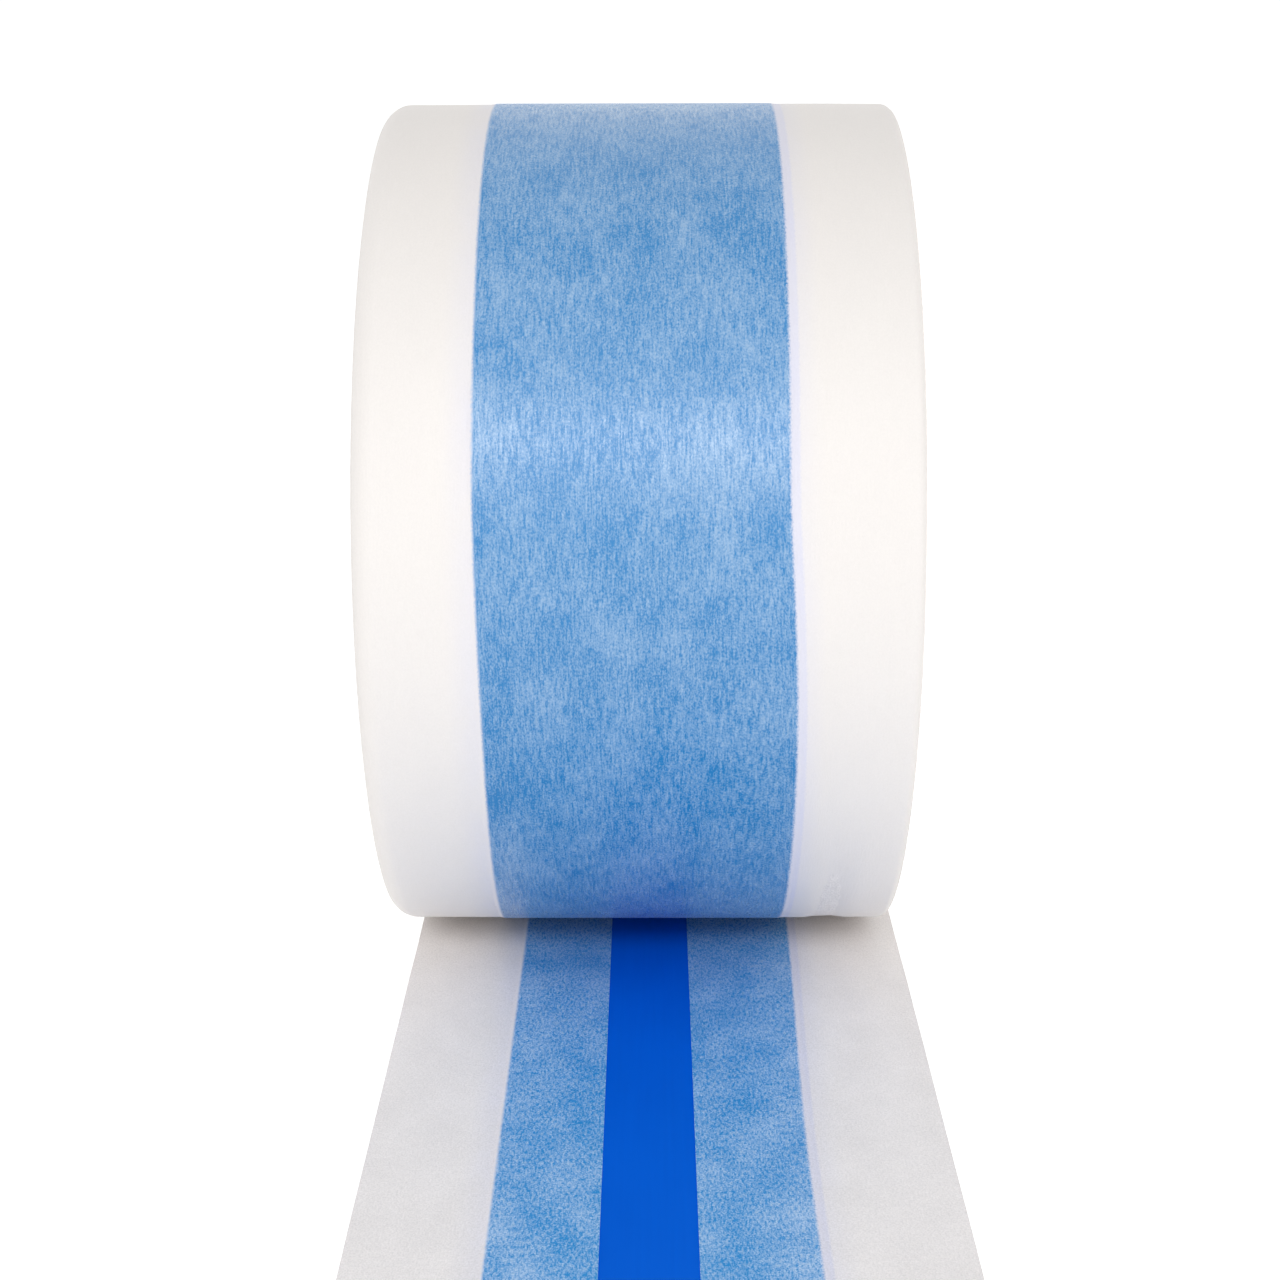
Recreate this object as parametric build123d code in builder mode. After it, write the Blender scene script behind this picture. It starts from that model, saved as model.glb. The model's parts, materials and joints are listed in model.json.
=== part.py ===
from build123d import *

import os
from math import degrees

# A 50 m roll of fleece-faced sealing tape on a spiral-wound board core, with its first 200 mm
# drawn off. All sizes are in millimetres. The origin is the middle of the core's bore: X runs
# along the roll's axis, -Y is the way the tape is drawn off and Z is up. The tape leaves the
# roll underneath and lies flat, so its inner face looks up on the strip and its outer face
# looks out on the roll.

# Tape: three plies, 120 wide. A film runs down the middle between two fleeces. The front fleece
# is in two halves that leave a bare band of film between them.
tape_width = 120.0
tape_thickness = 0.53
film_depth = (0.17, 0.36)
film_span = (-33.0, 31.0)
bare_span = (-11.5, 7.5)
fleece_split = tape_thickness / 2

# Core: a 3 inch bore, and five glued board plies.
bore_radius = 38.1
ply_thickness = 0.8
core_plies = ("core_liner", "core_board_1", "core_board_2", "core_board_3", "core_cover")
core_radius = bore_radius + len(core_plies) * ply_thickness

# Wound roll: the margins are softer than the middle, so the turns curl in at both shoulders.
roll_radius = 101.0
curl_radius = 8.0
curled_width = 5.0
curl_angle = degrees(curled_width / curl_radius)
shoulder_drop = 2.8
flat_half = tape_width / 2 - curled_width

# Starter tab: the short length of transfer tape that holds the first turn on the core.
tab_thickness = 0.2
tab_width = 100.0
tab_angle = 34.0

# Drawn-off strip: shifted along the axis from the roll, and clear of the turning roll. As it
# peels up it bends at lines across its width, where each length stops short of the next.
strip_shift = 4.5
strip_back = 16.0
first_bend = -60.0
bend_pitch = 17.5
bend_count = 8
bend_lines = [first_bend - number * bend_pitch for number in range(bend_count)]
strip_front = first_bend - bend_count * bend_pitch
bend_gap = 0.3
roll_clearance = 0.3
strip_bottom = -(roll_radius + roll_clearance + tape_thickness)

PLIES = ("back_fleece", "film", "front_fleece_left", "front_fleece_right")


def save(piece, name):
    piece.part.label = name
    export_step(piece.part, f"parts/{name}.step")


def slab(bottom, span, depths):
    """A rectangle of the tape's cross-section. Depth is measured in from the outer face."""
    with BuildSketch() as section:
        with Locations((sum(span) / 2, bottom + sum(depths) / 2)):
            Rectangle(span[1] - span[0], depths[1] - depths[0])
    return section.sketch


def curled_slab(bottom, depths):
    """The cross-section between two depths at full width, with both edges curled in."""
    curl_height = bottom + curl_radius
    ends = []
    with BuildSketch() as section:
        with BuildLine():
            for depth in depths:
                radius = curl_radius - depth
                right = CenterArc((flat_half, curl_height), radius, 270, curl_angle)
                left = CenterArc((-flat_half, curl_height), radius, 270, -curl_angle)
                Line(left @ 0, right @ 0)
                ends.append((left @ 1, right @ 1))
            Line(ends[0][0], ends[1][0])
            Line(ends[0][1], ends[1][1])
        make_face()
    return section.sketch


def ply_section(ply, bottom, curled):
    """One ply's cross-section, with the tape's outer face down at the height given."""
    edge = tape_width / 2
    depths = {
        "back_fleece": (0, fleece_split),
        "film": film_depth,
        "front_fleece_left": (fleece_split, tape_thickness),
        "front_fleece_right": (fleece_split, tape_thickness),
    }[ply]
    sides = {
        "front_fleece_left": (-edge, bare_span[0]),
        "front_fleece_right": (bare_span[1], edge),
    }
    with BuildSketch() as section:
        if ply == "film":
            add(slab(bottom, film_span, depths))
        else:
            add(curled_slab(bottom, depths) if curled else slab(bottom, (-edge, edge), depths))
            add(slab(bottom, film_span, film_depth), mode=Mode.SUBTRACT)
        if ply in sides:
            add(slab(bottom, sides[ply], (0, curl_radius)), mode=Mode.INTERSECT)
    return section.sketch


def make_core_ply(inner_radius):
    with BuildPart() as core_ply:
        with BuildSketch(Plane.YZ):
            Circle(inner_radius + ply_thickness)
            Circle(inner_radius, mode=Mode.SUBTRACT)
        extrude(amount=tape_width / 2, both=True)
    return core_ply


def make_starter_tab():
    with BuildPart() as starter_tab:
        with BuildSketch(Plane.YZ):
            with BuildLine():
                under = CenterArc((0, 0), core_radius, 90, tab_angle)
                over = CenterArc((0, 0), core_radius + tab_thickness, 90, tab_angle)
                Line(under @ 0, over @ 0)
                Line(under @ 1, over @ 1)
            make_face()
        extrude(amount=tab_width / 2, both=True)
    return starter_tab


def make_inner_turns(starter_tab):
    """Every turn under the outermost one, as one ring with curled shoulders and flat sides."""
    bottom = -roll_radius
    side = tape_width / 2
    side_top = bottom + shoulder_drop
    with BuildPart() as inner_turns:
        with BuildSketch(Plane.XZ):
            with BuildLine():
                arcs = []
                for sign in (1, -1):
                    center = (sign * flat_half, bottom + curl_radius)
                    radius = curl_radius - tape_thickness
                    arcs.append(CenterArc(center, radius, 270, sign * curl_angle))
                right, left = arcs
                Line(left @ 0, right @ 0)
                Polyline(right @ 1, (side, side_top), (side, -core_radius), (-side, -core_radius),
                         (-side, side_top), left @ 1)
            make_face()
        revolve(axis=Axis.X)
        add(starter_tab.part, mode=Mode.SUBTRACT)
    return inner_turns


def make_outer_turn(ply):
    with BuildPart() as outer_turn:
        with BuildSketch(Plane.XZ):
            add(ply_section(ply, -roll_radius, curled=True))
        revolve(axis=Axis.X)
    return outer_turn


def make_strip(ply, back, front):
    """A flat length of one ply, from its back end to its front end."""
    start = Plane(origin=(strip_shift, back, 0), x_dir=(1, 0, 0), z_dir=(0, -1, 0))
    with BuildPart() as strip:
        with BuildSketch(start):
            add(ply_section(ply, strip_bottom, curled=False))
        extrude(amount=back - front)
    return strip


os.makedirs("parts", exist_ok=True)

for number, name in enumerate(core_plies):
    save(make_core_ply(bore_radius + number * ply_thickness), name)

tab = make_starter_tab()
save(tab, "starter_tab")
save(make_inner_turns(tab), "inner_turns")

for ply in PLIES:
    save(make_outer_turn(ply), f"outer_turn_{ply}")

ends = (strip_back, *bend_lines, strip_front)
for number, (back, front) in enumerate(zip(ends, ends[1:])):
    length = f"lifting_strip_{number}" if number else "laid_strip"
    back_end = back - bend_gap / 2 if back in bend_lines else back
    front_end = front + bend_gap / 2 if front in bend_lines else front
    for ply in PLIES:
        save(make_strip(ply, back_end, front_end), f"{length}_{ply}")
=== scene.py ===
import json
from math import pi, radians

import bmesh
import bpy
import numpy as np
from mathutils import Matrix, Vector


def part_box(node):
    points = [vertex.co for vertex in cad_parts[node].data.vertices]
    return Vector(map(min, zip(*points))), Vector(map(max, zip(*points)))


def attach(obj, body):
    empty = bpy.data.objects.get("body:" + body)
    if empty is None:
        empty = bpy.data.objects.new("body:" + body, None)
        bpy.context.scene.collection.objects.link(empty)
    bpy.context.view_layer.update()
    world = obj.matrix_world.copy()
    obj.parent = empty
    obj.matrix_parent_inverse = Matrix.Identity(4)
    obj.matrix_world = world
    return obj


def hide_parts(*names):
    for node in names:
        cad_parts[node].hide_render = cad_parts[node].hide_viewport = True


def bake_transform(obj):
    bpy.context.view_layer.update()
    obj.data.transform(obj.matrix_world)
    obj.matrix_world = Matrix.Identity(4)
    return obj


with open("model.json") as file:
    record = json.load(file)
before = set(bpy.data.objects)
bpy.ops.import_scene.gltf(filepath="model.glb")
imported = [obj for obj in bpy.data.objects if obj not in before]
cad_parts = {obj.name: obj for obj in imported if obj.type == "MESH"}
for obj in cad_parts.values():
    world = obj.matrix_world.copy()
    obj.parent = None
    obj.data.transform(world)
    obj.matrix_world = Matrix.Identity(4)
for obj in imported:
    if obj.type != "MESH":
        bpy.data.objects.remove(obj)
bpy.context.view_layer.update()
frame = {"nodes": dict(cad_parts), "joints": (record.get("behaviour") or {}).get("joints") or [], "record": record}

# ---- Sizes, in metres. The tape's cross-section runs across its width (u) and in from its outer
# face (depth). The strip's length (s) runs from the line where it leaves the roll: the drawn-off
# part is s < 0, and the part still on the back of the roll is s > 0.

MM = 0.001
HALF_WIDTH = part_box("inner_turns")[1].x
ROLL_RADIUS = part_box("outer_turn_back_fleece")[1].z
CORE_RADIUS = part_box("core_cover")[1].z
FILM_SPAN = (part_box("outer_turn_film")[0].x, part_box("outer_turn_film")[1].x)
BARE_SPAN = (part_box("outer_turn_front_fleece_left")[1].x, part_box("outer_turn_front_fleece_right")[0].x)
STRIP_LOW, STRIP_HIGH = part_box("laid_strip_back_fleece")
STRIP_SHIFT = (STRIP_LOW.x + STRIP_HIGH.x) / 2
STRIP_BOTTOM = STRIP_LOW.z
TAPE_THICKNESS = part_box("laid_strip_front_fleece_left")[1].z - STRIP_BOTTOM
BENDS = [j["pos_m"][1] for j in frame["joints"] if j["name"].startswith("strip_lift")]
STRIP_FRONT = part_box(f"lifting_strip_{len(BENDS)}_back_fleece")[0].y

FLEECE = 0.17 * MM
FILM = TAPE_THICKNESS - 2 * FLEECE
MARGIN_THICKNESS = 2 * FLEECE
PLIES = ("back_fleece", "film", "front_fleece_left", "front_fleece_right")


def smooth(value, start, end):
    """0 before start, 1 after end, and a smooth step between them."""
    t = np.clip((value - start) / (end - start), 0, 1)
    return t * t * (3 - 2 * t)


def wander(t, seed, periods):
    """A smooth random line along t, within about 1 of zero, made of waves of the given periods."""
    random = np.random.default_rng(seed)
    phases = random.uniform(0, 2 * pi, len(periods))
    waves = [np.sin(2 * pi * t / period + phase) for period, phase in zip(periods, phases)]
    return sum(waves) / len(periods)


# ---- Mesh making

def add_piece(name, points, faces, tape, material):
    """A mesh object with closed, outward faces, and the tape coordinates that its material reads."""
    mesh = bpy.data.meshes.new(name)
    mesh.from_pydata(points.tolist(), [], faces.tolist())
    bm = bmesh.new()
    bm.from_mesh(mesh)
    bmesh.ops.recalc_face_normals(bm, faces=bm.faces)
    bm.to_mesh(mesh)
    bm.free()
    attribute = mesh.attributes.new("tape", "FLOAT_VECTOR", "POINT")
    attribute.data.foreach_set("vector", np.asarray(tape, np.float32).ravel())
    mesh.shade_smooth()
    mesh.set_sharp_from_angle(angle=radians(40))
    mesh.materials.append(material)
    piece = bpy.data.objects.new(name, mesh)
    bpy.context.scene.collection.objects.link(piece)
    return piece


def loft(name, sections, tape, material, ring=False):
    """A closed solid through sections[i], each a closed loop of 2n points: n along one face, then n
    back along the other. A ring joins its last section to its first, and other lofts get end caps."""
    count, around = sections.shape[:2]
    index = np.arange(count * around).reshape(count, around)
    here = index if ring else index[:-1]
    ahead = np.roll(index, -1, axis=0) if ring else index[1:]
    sides = np.stack([here, np.roll(here, -1, 1), np.roll(ahead, -1, 1), ahead], axis=-1)
    faces = [sides.reshape(-1, 4)]
    if not ring:
        half = around // 2
        near, far = np.arange(half - 1), around - 1 - np.arange(half - 1)
        for loop in (index[0], index[-1]):
            faces.append(np.stack([loop[near], loop[near + 1], loop[far - 1], loop[far]], axis=-1))
    return add_piece(name, sections.reshape(-1, 3), np.concatenate(faces), tape.reshape(-1, 3), material)


def lateral_points(span, step=1.6 * MM):
    """Points across the tape within a span: evenly spaced, and closer at the film's edges and the
    tape's own edges, where its profile turns."""
    low, high = span
    points = list(np.arange(-HALF_WIDTH, HALF_WIDTH + step / 2, step))
    for edge in FILM_SPAN:
        points += list(edge + np.linspace(-1.6, 1.6, 9) * MM)
    for edge in (-HALF_WIDTH, HALF_WIDTH):
        points += list(edge - np.sign(edge) * np.linspace(0, 6, 13) * MM)
    inside = [p for p in points if low + 0.1 * MM < p < high - 0.1 * MM]
    u = np.unique(np.round([low, *inside, high], 6))
    return u[np.concatenate([[True], np.diff(u) > 0.08 * MM])]


def ply_span(ply):
    return {
        "back_fleece": (-HALF_WIDTH, HALF_WIDTH),
        "film": FILM_SPAN,
        "front_fleece_left": (-HALF_WIDTH, BARE_SPAN[0]),
        "front_fleece_right": (BARE_SPAN[1], HALF_WIDTH),
    }[ply]


def over_film(u):
    """1 over the film and 0 on the margins, easing down where the fleece drapes off its edge."""
    drape = 1.1 * MM
    left = smooth(u, FILM_SPAN[0] - drape, FILM_SPAN[0])
    return left * (1 - smooth(u, FILM_SPAN[1], FILM_SPAN[1] + drape))


def film_edges(u, left, right):
    """A sideways shift of the film's two edges, which fades out in the tape about them."""
    shifts = zip(FILM_SPAN, (left, right))
    return sum(shift * (1 - smooth(np.abs(u - edge), 2 * MM, 14 * MM)) for edge, shift in shifts)


def ply_depths(ply, u):
    """A ply's two faces, as depths from the tape's outer face."""
    if ply == "back_fleece":
        return 0 * u, 0 * u + FLEECE
    if ply == "film":
        return 0 * u + FLEECE, 0 * u + FLEECE + FILM
    top = MARGIN_THICKNESS + FILM * over_film(u)
    return top - FLEECE, top


# ---- The roll

SHOULDERS = {-1: 5.6 * MM, 1: 1.8 * MM}
MARGIN_DROP = 0.14 * MM
ROLL_STEPS = 360


def shoulder(u):
    """How far the outermost turn's edges curl: their shift along the axis and their drop."""
    shift, drop = 0 * u, 0 * u
    for side, radius in SHOULDERS.items():
        past = np.clip(side * u - (HALF_WIDTH - radius), 0, None)
        bend = past / radius
        shift = shift - side * (past - radius * np.sin(bend))
        drop = drop + radius * (1 - np.cos(bend))
    return shift, drop


def outer_turn(ply, material):
    """One ply of the outermost turn. The angle runs from +Y towards +Z."""
    angle = np.linspace(0, 2 * pi, ROLL_STEPS, endpoint=False)[:, None]
    u = lateral_points(ply_span(ply))
    loop_u = np.concatenate([u, u[::-1]])[None, :]
    depth = np.concatenate([ply_depths(ply, u)[0], ply_depths(ply, u)[1][::-1]])[None, :]
    shift, drop = shoulder(loop_u)
    margin = 1 - over_film(loop_u)
    ripple = 0.5 + 0.5 * wander(angle + 12 * loop_u, 12, (2 * pi / 5, 2 * pi / 9, 2 * pi / 14))
    fall = drop + margin * (MARGIN_DROP + 0.16 * MM * ripple)
    # A dent beside the film, low on the front, which lifts the edge of the roll's outline there.
    dent = (1 - smooth(np.abs(loop_u - 45 * MM), 0, 6 * MM)) * smooth(np.cos(angle - radians(245)), 0.8, 1.0)
    radius = ROLL_RADIUS - depth - fall - 0.7 * MM * dent
    low_front = smooth(np.cos(angle - radians(218)), 0.55, 1.0)
    edges = film_edges(loop_u, -0.9 * MM + 1.1 * MM * low_front, 0.7 * MM + 2.6 * MM * low_front)
    x = loop_u + shift + edges
    points = np.stack([x + 0 * radius, radius * np.cos(angle), radius * np.sin(angle)], axis=-1)
    tape = np.stack([loop_u + 0 * radius, points[..., 1], points[..., 2]], axis=-1)
    piece = loft(f"wound_{ply}", points, tape, material, ring=True)
    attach(piece, "roll")
    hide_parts(f"outer_turn_{ply}")
    return piece


def inner_turns(material):
    """The tape under the outermost turn, wound as one spiral from the core out."""
    steps_per_turn = 90
    first_turn_angle = radians(-35)
    inside, outside = CORE_RADIUS + 0.03 * MM, ROLL_RADIUS - TAPE_THICKNESS
    turns = round((outside - inside) / TAPE_THICKNESS)
    pitch = (outside - inside) / turns
    turn = np.linspace(0, turns, turns * steps_per_turn + 1)[:, None]
    angle = 2 * pi * turn + first_turn_angle
    half = np.array([-HALF_WIDTH, FILM_SPAN[0], FILM_SPAN[1], HALF_WIDTH])
    u = np.concatenate([half, half[::-1]])[None, :]
    outer_face = np.array([[1, 1, 1, 1, 0, 0, 0, 0]])
    edge = np.abs(u) == HALF_WIDTH

    # The soft margins press together, so the last turns tuck in at the shoulders.
    gap, edge_gap = 0.02 * MM, 0.05 * MM
    tuck_per_turn, full_squeeze = 0.15 * MM, 0.225 * MM
    tuck, squeeze = 0, 0
    for side, curl_radius in SHOULDERS.items():
        this_edge = side * u == HALF_WIDTH
        full_tuck = curl_radius * (1 - np.cos(1))
        share = np.clip(1 - (turns - turn) * tuck_per_turn / full_tuck, 0, 1)
        tuck = tuck + this_edge * full_tuck * share ** 1.5
        squeeze = squeeze + this_edge * full_squeeze * share ** 0.5
    thickness = pitch - gap - edge * (edge_gap + squeeze)
    radius = inside + pitch * turn + (pitch - thickness) / 2 + outer_face * thickness - tuck

    # No turn lies quite square on the one below it.
    offset = 0.1 * MM * wander(turn, 21, (2.13, 3.37, 5.9, 9.1))
    offset = offset + 0.3 * MM * wander(turn, 22, (19, 33, 47))
    x = u + offset - np.sign(u) * edge * 0.35 * tuck
    points = np.stack([x + 0 * radius, radius * np.cos(angle), radius * np.sin(angle)], axis=-1)
    tape = np.stack([u + 0 * radius, points[..., 1], points[..., 2] + 0.5 * turn], axis=-1)
    piece = loft("wound_turns", points, tape, material)
    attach(piece, "roll")
    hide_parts("inner_turns")
    return piece


# ---- The core

PLY_SEAM = 0.35 * MM
CORE_PLIES = ("core_liner", "core_board_1", "core_board_2", "core_board_3", "core_cover")


def core_ply(number, node, material):
    """One board ply, wound as a helix with a butt seam and cut off square at both ends."""
    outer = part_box(node)[1].z
    inner = (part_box(CORE_PLIES[number - 1])[1].z if number
             else frame["record"]["mounts"][0]["dims"]["r_mm"] * MM)
    lead = 2.06 * HALF_WIDTH
    start_angle = 2.4 * number
    uneven_cut = 0.06 * MM
    cut = HALF_WIDTH + uneven_cut * (-1) ** number
    turn = np.linspace(0.004, 1.996 + (2 * cut - lead) / lead, 300)[:, None]
    low = np.clip(-cut - lead + lead * turn + PLY_SEAM / 2, -cut, cut)
    high = np.clip(-cut + lead * turn - PLY_SEAM / 2, -cut, cut)
    angle = 2 * pi * turn + start_angle
    across = np.linspace(0, 1, 14)
    loop = np.concatenate([across, across[::-1]])[None, :]
    x = low + (high - low) * loop
    gap = 0.02 * MM
    radius = np.concatenate([0 * across + inner + gap, 0 * across + outer - gap])[None, :]
    points = np.stack([x, radius * np.cos(angle), radius * np.sin(angle)], axis=-1)
    piece = loft(f"ply_{node}", points, points, material)
    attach(piece, "roll")
    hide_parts(node)
    return piece


# ---- The drawn-off strip

LAP_ANGLE = radians(27)
LAP = LAP_ANGLE * -STRIP_BOTTOM
FEATHER = 0.45 * LAP


def strip_shift(s):
    """Along the axis from the roll's middle: the tape comes off a little askew."""
    return STRIP_SHIFT - (STRIP_SHIFT - 3.0 * MM) * smooth(s, 0, LAP)


def lie(s, u):
    """The strip's gentle waves off the surface, none of them where it passes under the roll. It
    springs up most about the first bend, so it stays clear of the surface there as it lifts."""
    away = smooth(-s, 0.035, 0.075)
    spring = 0.2 * MM * (1 - smooth(np.abs(s - BENDS[0] - 3 * MM), 3 * MM, 18 * MM))
    waves = wander(s * 1000 + 240 * u, 41, (61, 97, 143)) * wander(u * 1000 - 60 * s, 42, (83, 131))
    edge = smooth(np.abs(u), HALF_WIDTH - 8 * MM, HALF_WIDTH)
    flutter = 0.5 + 0.5 * wander(s * 1000, 43, (37, 58, 90))
    return spring + away * (0.16 * MM * (1 + waves) + 0.22 * MM * edge * flutter)


def strip_piece(ply, number, start, end, material):
    """One ply of the strip between two places along it."""
    steps = max(2, int(abs(end - start) / (1.5 * MM)))
    s = np.linspace(start, end, steps + 1)[:, None]
    u = lateral_points(ply_span(ply))
    loop_u = np.concatenate([u, u[::-1]])[None, :]
    s = s + 0 * loop_u
    if end == STRIP_FRONT:
        cut = 0.35 * MM * wander(loop_u * 1000, 51 + PLIES.index(ply), (7, 13, 31))
        s = np.where(s == end, s + cut, s)
    depth = np.concatenate([ply_depths(ply, u)[0], ply_depths(ply, u)[1][::-1]])[None, :]
    feather = smooth(s, LAP - FEATHER, LAP)
    height = depth * (1 - 0.9 * feather)
    across = loop_u + strip_shift(s)
    shift, drop = shoulder(np.clip(across, -HALF_WIDTH, HALF_WIDTH))
    curled = 0.93 * smooth(s, 0.15 * LAP, 0.75 * LAP)
    base = -STRIP_BOTTOM - (TAPE_THICKNESS + 0.2 * MM) * feather
    base = base - curled * (drop + (1 - over_film(across)) * MARGIN_DROP)
    angle = np.clip(s, 0, None) / -STRIP_BOTTOM
    flat = lie(s, loop_u) + height
    y = np.where(s > 0, (base - height) * np.sin(angle), s)
    z = np.where(s > 0, -(base - height) * np.cos(angle), STRIP_BOTTOM + flat)
    edges = film_edges(loop_u, 0 * s, 2.3 * MM - 2.9 * MM * smooth(-s, 0, 0.15))
    x = across + shift * curled + edges
    points = np.stack([x, y, z], axis=-1)
    tape = np.stack([loop_u + 0 * s, s + 0.7, 0 * s], axis=-1)
    return loft(f"strip_{ply}_{number}", points, tape, material)


def strip(ply, material):
    """One ply of the whole strip: a piece for each bend, from midway to midway."""
    reach = (BENDS[0] - BENDS[1]) / 2
    ends = [LAP, *(bend - reach for bend in BENDS[:-1]), STRIP_FRONT]
    before = "laid_strip"
    for number, bend in enumerate(BENDS, start=1):
        start, end = ends[number - 1], ends[number]
        piece = strip_piece(ply, number, start, end, material)
        after = f"lifting_strip_{number}"
        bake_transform(piece)
        nodes = [f"{after}_{ply}"] if number > 1 else [f"{before}_{ply}", f"{after}_{ply}"]
        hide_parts(*nodes)
        before = after
        yield piece, start - end


# ---- Materials

def add(tree, kind, inputs=None, **settings):
    """A shader node with its settings, and its inputs set to values or linked to sockets."""
    node = tree.nodes.new("ShaderNode" + kind)
    for name, value in settings.items():
        setattr(node, name, value)
    for key, value in (inputs or {}).items():
        if isinstance(value, bpy.types.NodeSocket):
            tree.links.new(value, node.inputs[key])
        else:
            node.inputs[key].default_value = value
    return node


def calculate(tree, operation, a, b=0.0, clamp=False):
    return add(tree, "Math", {0: a, 1: b}, operation=operation, use_clamp=clamp).outputs[0]


def ease(tree, value, start, end):
    """0 at start and 1 at end, with a smooth step between them."""
    inputs = {"Value": value, "From Min": start, "From Max": end}
    return add(tree, "MapRange", inputs, interpolation_type="SMOOTHSTEP").outputs[0]


def blend_colors(tree, factor, a, b):
    return add(tree, "Mix", {0: factor, 6: a, 7: b}, data_type="RGBA").outputs[2]


def noise(tree, vector, stretch, detail=2.0, rough=0.5):
    """Noise with features about stretch metres long along each tape axis."""
    scaled = add(tree, "VectorMath", {0: vector, 1: [1 / s for s in stretch]}, operation="MULTIPLY")
    inputs = {"Vector": scaled.outputs[0], "Scale": 1.0, "Detail": detail, "Roughness": rough}
    return add(tree, "TexNoise", inputs).outputs["Fac"]


def new_material(name):
    material = bpy.data.materials.new(name)
    material.use_nodes = True
    return material, material.node_tree, material.node_tree.nodes["Principled BSDF"]


def tape_place(tree):
    """Where a point lies on the tape, so the patterns stay put on it as it bends."""
    return add(tree, "Attribute", attribute_name="tape").outputs["Vector"]


def color(red, green, blue):
    return (red, green, blue, 1.0)


WARM_WHITE = color(0.835, 0.80, 0.772)
COOL_WHITE = color(0.90, 0.864, 0.85)
LILAC = color(0.60, 0.63, 0.86)
DEEP_BLUE = color(0.0, 0.195, 0.50)
PALE_BLUE = color(0.27, 0.445, 0.675)
BRIGHT_DEEP_BLUE = color(0.0, 0.265, 0.67)
BRIGHT_PALE_BLUE = color(0.47, 0.67, 0.93)


def layered(tree, start, layers):
    """A value with noise patterns added to it, each of a given weight."""
    for pattern, weight in layers:
        centred = calculate(tree, "SUBTRACT", pattern, 0.5)
        start = calculate(tree, "ADD", calculate(tree, "MULTIPLY", centred, weight), start)
    return start


def turn_tone(tree):
    """Noise that differs from turn to turn of the wound tape, as its radius grows."""
    place = add(tree, "SeparateXYZ", {0: add(tree, "TexCoord").outputs["Object"]}).outputs
    section = add(tree, "CombineXYZ", {1: place[1], 2: place[2]}).outputs[0]
    radius = add(tree, "VectorMath", {0: section}, operation="LENGTH").outputs["Value"]
    line = add(tree, "CombineXYZ", {0: radius}).outputs[0]
    return noise(tree, line, (2.2 * MM, 1.0, 1.0), detail=3.0, rough=0.7)


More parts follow.
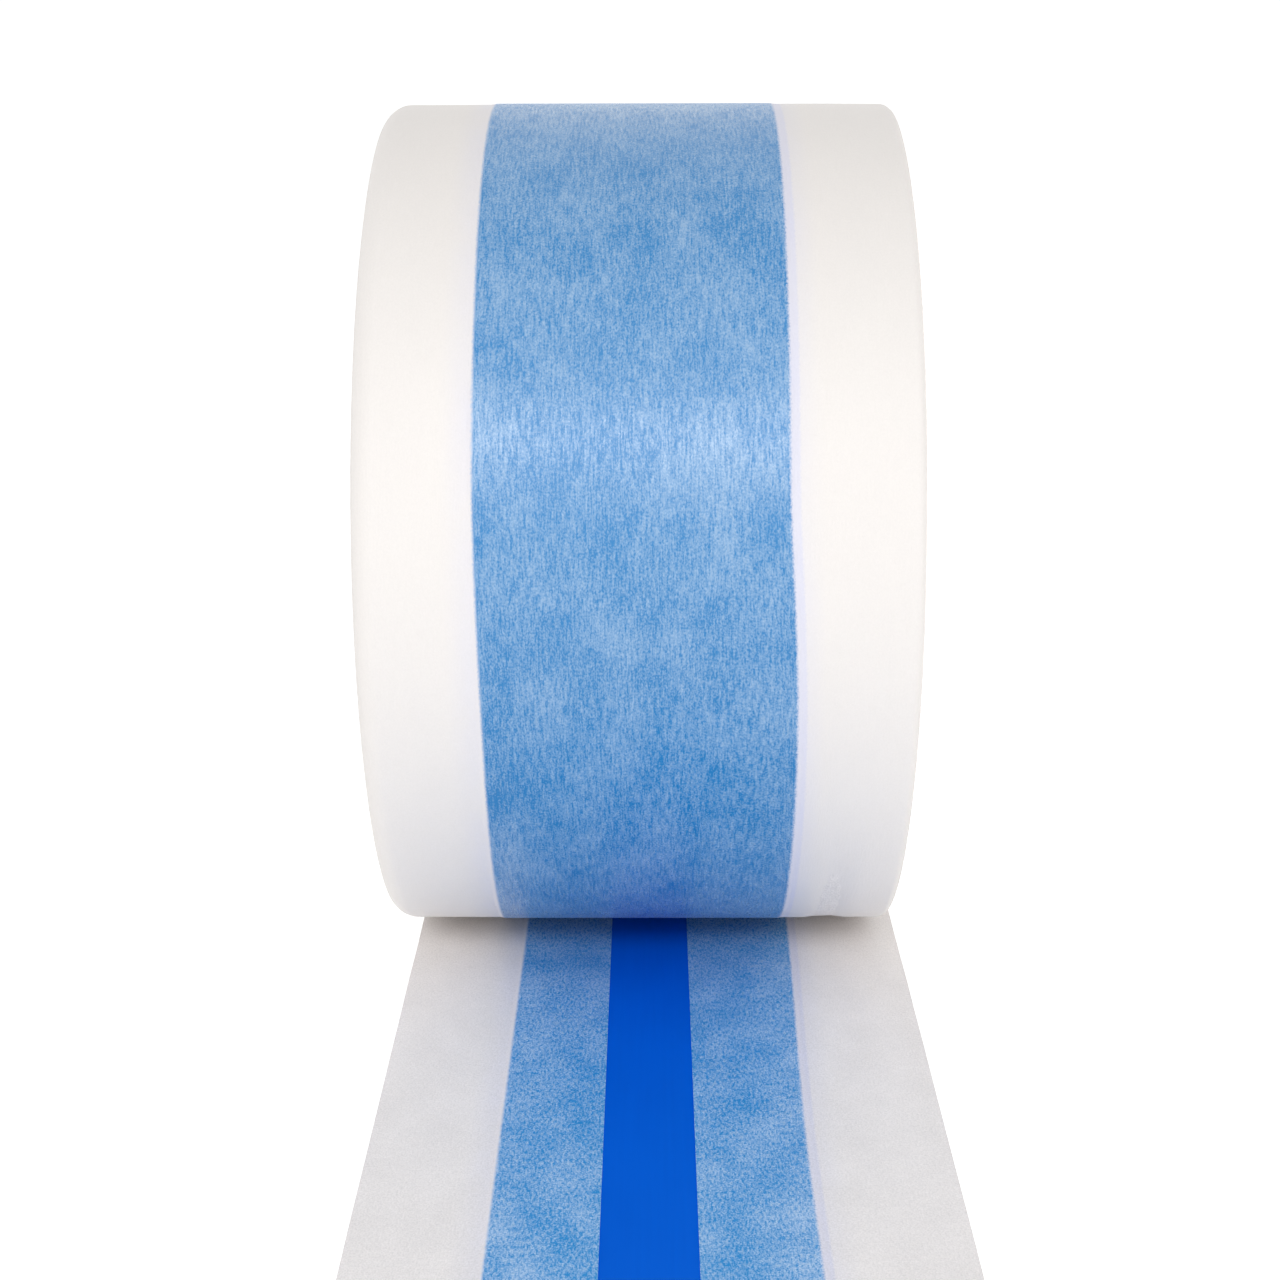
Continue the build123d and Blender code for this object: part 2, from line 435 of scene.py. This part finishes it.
def fleece(name, white, blues, cover, streak, streak_weight, mottle, wound=False):
    """White bonded fibres, thin enough that the blue film shows through where it lies behind.
    The streaks are (wide, long), and mottle is how uneven the white of the margins is."""
    material, tree, shader = new_material(name)
    vector = tape_place(tree)
    u = add(tree, "SeparateXYZ", {0: vector}).outputs[0]
    wide, long = streak
    clouds = noise(tree, vector, (11 * MM, 17 * MM, 17 * MM), detail=4.0, rough=0.6)
    flecks = noise(tree, vector, (1.3 * MM, 2.4 * MM, 2.4 * MM), detail=2.0)
    streaks = noise(tree, vector, (wide, long, long), detail=2.0, rough=0.6)
    specks = noise(tree, vector, (0.36 * MM, 0.5 * MM, 0.5 * MM), detail=1.0)
    share = layered(tree, cover, ((clouds, 1.2), (flecks, 0.25), (streaks, streak_weight), (specks, 1.7)))
    share = add(tree, "Clamp", {"Value": share}).outputs[0]
    behind = blend_colors(tree, share, *blues)

    # Where the film's edges show: a slightly fuzzy border, then a faint lilac cast that fades out, partly the
    # film's tint seen through the fleece and partly painted shade beside the film's edge.
    fuzz = calculate(tree, "MULTIPLY", calculate(tree, "SUBTRACT", specks, 0.5), 0.7 * MM)
    place = calculate(tree, "ADD", u, fuzz)
    soft = 0.45 * MM
    left = ease(tree, place, FILM_SPAN[0] - soft, FILM_SPAN[0] + soft)
    right = ease(tree, place, FILM_SPAN[1] + soft, FILM_SPAN[1] - soft)
    film = calculate(tree, "MULTIPLY", left, right)
    middle, reach = sum(FILM_SPAN) / 2, (FILM_SPAN[1] - FILM_SPAN[0]) / 2
    offset = calculate(tree, "ABSOLUTE", calculate(tree, "SUBTRACT", u, middle))
    edge_tint_and_shade = ease(tree, offset, reach + 8 * MM, reach)
    edge_tint_and_shade = calculate(tree, "MULTIPLY", edge_tint_and_shade, calculate(tree, "MULTIPLY", clouds, 0.4))
    # Painted shade: a thin lilac line just past the film's right edge, where the fleece steps down off the film.
    painted_step_shade = ease(tree, place, FILM_SPAN[1] + 2.4 * MM, FILM_SPAN[1] + 1.7 * MM)
    painted_step_shade = calculate(tree, "MULTIPLY", painted_step_shade, calculate(tree, "MULTIPLY", left, 0.3))
    edge_tint_and_shade = calculate(tree, "ADD", edge_tint_and_shade, painted_step_shade)
    margin = blend_colors(tree, edge_tint_and_shade, white, LILAC)
    layers = [(clouds, mottle), (streaks, mottle), (specks, 2 * mottle)]
    if wound:
        layers.append((turn_tone(tree), 0.4))
    shade = layered(tree, 1.0, layers)
    margin = add(tree, "VectorMath", {0: margin, "Scale": shade}, operation="SCALE").outputs[0]
    tree.links.new(blend_colors(tree, film, margin, behind), shader.inputs["Base Color"])

    # The film shines through the fleece as a soft sheen, and the margins stay matte.
    sheen = add(tree, "MapRange", {"Value": streaks, "From Min": 0.3, "From Max": 0.7, "To Min": 0.42,
                                   "To Max": 0.24}).outputs[0]
    rough = add(tree, "Mix", {0: film, 2: 0.62, 3: sheen}).outputs[0]
    tree.links.new(rough, shader.inputs["Roughness"])
    shader.inputs["Specular IOR Level"].default_value = 0.75
    shader.inputs["Sheen Weight"].default_value = 0.06
    shader.inputs["Sheen Roughness"].default_value = 0.45
    height = calculate(tree, "ADD", streaks, calculate(tree, "MULTIPLY", specks, 0.6))
    bump = add(tree, "Bump", {"Height": height, "Strength": 0.35, "Distance": 0.12 * MM})
    tree.links.new(bump.outputs[0], shader.inputs["Normal"])
    return material


def film_material():
    """Smooth satin film, with faint draw lines along its length."""
    material, tree, shader = new_material("film")
    vector = tape_place(tree)
    lines = noise(tree, vector, (0.9 * MM, 40 * MM, 40 * MM), detail=2.0)
    patches = noise(tree, vector, (20 * MM, 30 * MM, 30 * MM), detail=2.0)
    tone = calculate(tree, "ADD", calculate(tree, "MULTIPLY", lines, 0.3),
                     calculate(tree, "MULTIPLY", patches, 0.5))
    shade = blend_colors(tree, tone, color(0.0, 0.105, 0.66), color(0.0, 0.14, 0.80))
    tree.links.new(shade, shader.inputs["Base Color"])
    rough = add(tree, "MapRange", {"Value": patches, "From Min": 0.3, "From Max": 0.7, "To Min": 0.42,
                                   "To Max": 0.52}).outputs[0]
    tree.links.new(rough, shader.inputs["Roughness"])
    shader.inputs["Specular IOR Level"].default_value = 0.05
    bump = add(tree, "Bump", {"Height": lines, "Strength": 0.12, "Distance": 0.05 * MM})
    tree.links.new(bump.outputs[0], shader.inputs["Normal"])
    return material


def board(name, dark, light):
    """Grey-brown board: fibres that lie round the tube, flecks, and a matte face."""
    material, tree, shader = new_material(name)
    vector = add(tree, "TexCoord").outputs["Object"]
    fibres = noise(tree, vector, (0.6 * MM, 3 * MM, 3 * MM), detail=4.0, rough=0.65)
    blotches = noise(tree, vector, (9 * MM, 14 * MM, 14 * MM), detail=3.0)
    flecks = noise(tree, vector, (0.7 * MM, 0.9 * MM, 0.9 * MM), detail=1.0)
    tone = calculate(tree, "ADD", calculate(tree, "MULTIPLY", fibres, 0.7),
                     calculate(tree, "MULTIPLY", blotches, 0.4), clamp=True)
    shade = blend_colors(tree, tone, dark, light)
    fleck = ease(tree, flecks, 0.68, 0.76)
    shade = blend_colors(tree, calculate(tree, "MULTIPLY", fleck, 0.5), shade, color(0.10, 0.07, 0.045))
    tree.links.new(shade, shader.inputs["Base Color"])
    rough = add(tree, "MapRange", {"Value": fibres, "To Min": 0.78, "To Max": 0.95}).outputs[0]
    tree.links.new(rough, shader.inputs["Roughness"])
    shader.inputs["Specular IOR Level"].default_value = 0.25
    bump = add(tree, "Bump", {"Height": fibres, "Strength": 0.5, "Distance": 0.15 * MM})
    tree.links.new(bump.outputs[0], shader.inputs["Normal"])
    return material


# ---- The pieces

materials = {
    "back_fleece": fleece("back_fleece", WARM_WHITE, (DEEP_BLUE, PALE_BLUE), 0.42,
                          (0.42 * MM, 3.6 * MM), 1.8, 0.03),
    "front_fleece": fleece("front_fleece", COOL_WHITE, (BRIGHT_DEEP_BLUE, BRIGHT_PALE_BLUE), 0.4,
                           (0.55 * MM, 1.5 * MM), 2.3, 0.17),
    "film": film_material(),
    "wound_tape": fleece("wound_tape", WARM_WHITE, (DEEP_BLUE, PALE_BLUE), 0.42,
                         (0.42 * MM, 3.6 * MM), 1.8, 0.22, wound=True),
    "core_board": board("core_board", color(0.23, 0.17, 0.115), color(0.42, 0.33, 0.24)),
    "core_face": board("core_face", color(0.34, 0.25, 0.165), color(0.55, 0.43, 0.31)),
}
slots = dict(zip(PLIES, ("back_fleece", "film", "front_fleece", "front_fleece")))

inner_turns(materials["wound_tape"])
for ply in PLIES:
    piece = outer_turn(ply, materials[slots[ply]])
    if ply != "film":
        low, high = ply_span(ply)
for number, node in enumerate(CORE_PLIES):
    slot = "core_face" if node in ("core_liner", "core_cover") else "core_board"
    core_ply(number, node, materials[slot])
for ply in PLIES:
    for piece, length in strip(ply, materials[slots[ply]]):
        if ply != "film":
            low, high = ply_span(ply)

tab = frame["nodes"]["starter_tab"]
tab.data.materials.clear()
tab.data.materials.append(board("tab_paper", color(0.62, 0.54, 0.38), color(0.78, 0.72, 0.58)))

# ---- The floor, the light and the camera

floor_material = bpy.data.materials.new("floor")
floor_material.use_nodes = True
floor_tree = floor_material.node_tree
floor_shader = floor_tree.nodes["Principled BSDF"]
floor_shader.inputs["Base Color"].default_value = color(0.93, 0.93, 0.93)
floor_shader.inputs["Roughness"].default_value = 0.9
floor_shader.inputs["Specular IOR Level"].default_value = 0.1
floor_shader.inputs["Emission Color"].default_value = color(1, 1, 1)
FLOOR_GLOW, FLOOR_GLOW_SEEN = 0.29, 0.53
seen = add(floor_tree, "LightPath").outputs["Is Camera Ray"]
glow = add(floor_tree, "Mix", {0: seen, 2: FLOOR_GLOW, 3: FLOOR_GLOW_SEEN}).outputs[0]
floor_tree.links.new(glow, floor_shader.inputs["Emission Strength"])
bpy.ops.mesh.primitive_plane_add(size=60, location=(0, 0, STRIP_BOTTOM))
floor = bpy.context.object
floor.name = "floor"
floor.data.materials.append(floor_material)


def softbox(name, elevation, azimuth, distance, size, power):
    light = bpy.data.lights.new(name, "AREA")
    light.shape = "RECTANGLE"
    light.size, light.size_y = size
    light.energy = power
    lamp = bpy.data.objects.new(name, light)
    around, up = radians(azimuth), radians(elevation)
    direction = Vector((np.sin(around) * np.cos(up), -np.cos(around) * np.cos(up), np.sin(up)))
    lamp.location = direction * distance
    lamp.rotation_euler = direction.to_track_quat("Z", "Y").to_euler()
    bpy.context.scene.collection.objects.link(lamp)


softbox("key", elevation=34, azimuth=0, distance=1.5, size=(1.4, 0.3), power=6.4)
softbox("fill", elevation=24, azimuth=0, distance=1.6, size=(1.6, 0.6), power=3.2)
softbox("top", elevation=60, azimuth=0, distance=1.6, size=(1.6, 1.0), power=1.4)

# A white room: a little darker to the sides, and brighter low down behind, which lights the back. It is
# plain white where it is seen or mirrored.
WORLD_LIGHT, WORLD_DIM_ASIDE, WORLD_BEHIND, WORLD_SEEN = 0.57, -0.12, 1.1, 1.05
world = bpy.data.worlds.new("studio")
world.use_nodes = True
room = world.node_tree
background = room.nodes["Background"]
background.inputs["Color"].default_value = color(1.0, 1.0, 1.0)
path = add(room, "LightPath").outputs
seen = calculate(room, "ADD", path["Is Camera Ray"], path["Is Glossy Ray"], clamp=True)
way = add(room, "SeparateXYZ", {0: add(room, "TexCoord").outputs["Generated"]}).outputs
aside = calculate(room, "MULTIPLY", calculate(room, "ABSOLUTE", way[0]), WORLD_DIM_ASIDE)
low = ease(room, way[2], 0.65, 0.15)
low_behind = calculate(room, "MULTIPLY", ease(room, way[1], -0.05, 0.55), low)
lit = calculate(room, "ADD", aside, WORLD_LIGHT)
lit = calculate(room, "ADD", lit, calculate(room, "MULTIPLY", low_behind, WORLD_BEHIND))
strength = add(room, "Mix", {0: seen, 2: lit, 3: WORLD_SEEN}).outputs[0]
room.links.new(strength, background.inputs["Strength"])
bpy.context.scene.world = world
bpy.context.scene.view_settings.view_transform = "Standard"

camera_data = bpy.data.cameras.new("camera")
camera_data.sensor_width = 36
camera_data.lens = 59.75
camera_data.clip_end = 100
camera = bpy.data.objects.new("camera", camera_data)
bpy.context.scene.collection.objects.link(camera)
CAMERA_PLACE = (2.9 * MM, -523.0 * MM, 126.3 * MM)
CAMERA_YAW, CAMERA_DOWN, CAMERA_ROLL = radians(0.30), radians(16.94), radians(-0.15)
camera.matrix_world = (Matrix.Translation(CAMERA_PLACE) @ Matrix.Rotation(CAMERA_YAW, 4, "Z")
                       @ Matrix.Rotation(pi / 2 - CAMERA_DOWN, 4, "X") @ Matrix.Rotation(CAMERA_ROLL, 4, "Z"))
bpy.context.scene.camera = camera
